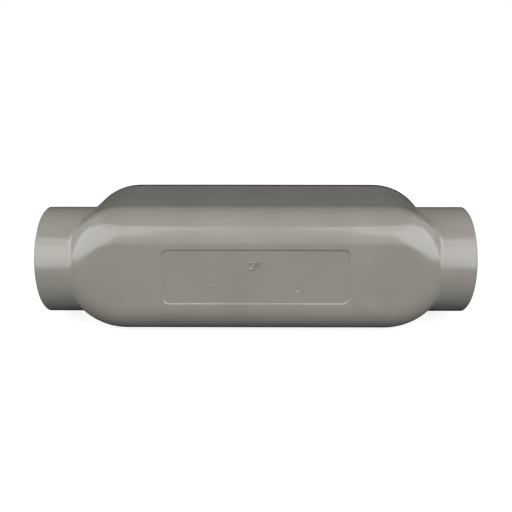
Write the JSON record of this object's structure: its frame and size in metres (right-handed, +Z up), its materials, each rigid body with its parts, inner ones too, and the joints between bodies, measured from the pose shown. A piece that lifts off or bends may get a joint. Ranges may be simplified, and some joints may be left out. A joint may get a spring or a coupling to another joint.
{
  "type": "conduit body",
  "caption": "Straight-through cast conduit body with a threaded hub at each end, a smooth rounded back, and a gasketed sheet cover held by screws on the open side.",
  "frame": {"origin": "middle of the footprint, on the surface that the long side wall stands on", "axes": "+X along the pipe axis, +Y out of the cover, +Z up; the closed back faces -Y"},
  "size_m": [0.279, 0.0918, 0.0827],
  "materials": {
    "casting": "semi-gloss warm grey paint on die-cast aluminium",
    "gasket_rubber": "matt black rubber sheet",
    "cover_sheet": "semi-gloss warm grey paint on pressed steel sheet",
    "screw_steel": "zinc-plated steel"
  },
  "bodies": {
    "root": {"body": "casting", "gasket": "gasket_rubber", "cover": "cover_sheet", "cover_screw_left": "screw_steel", "cover_screw_right": "screw_steel"}
  },
  "joints": []
}
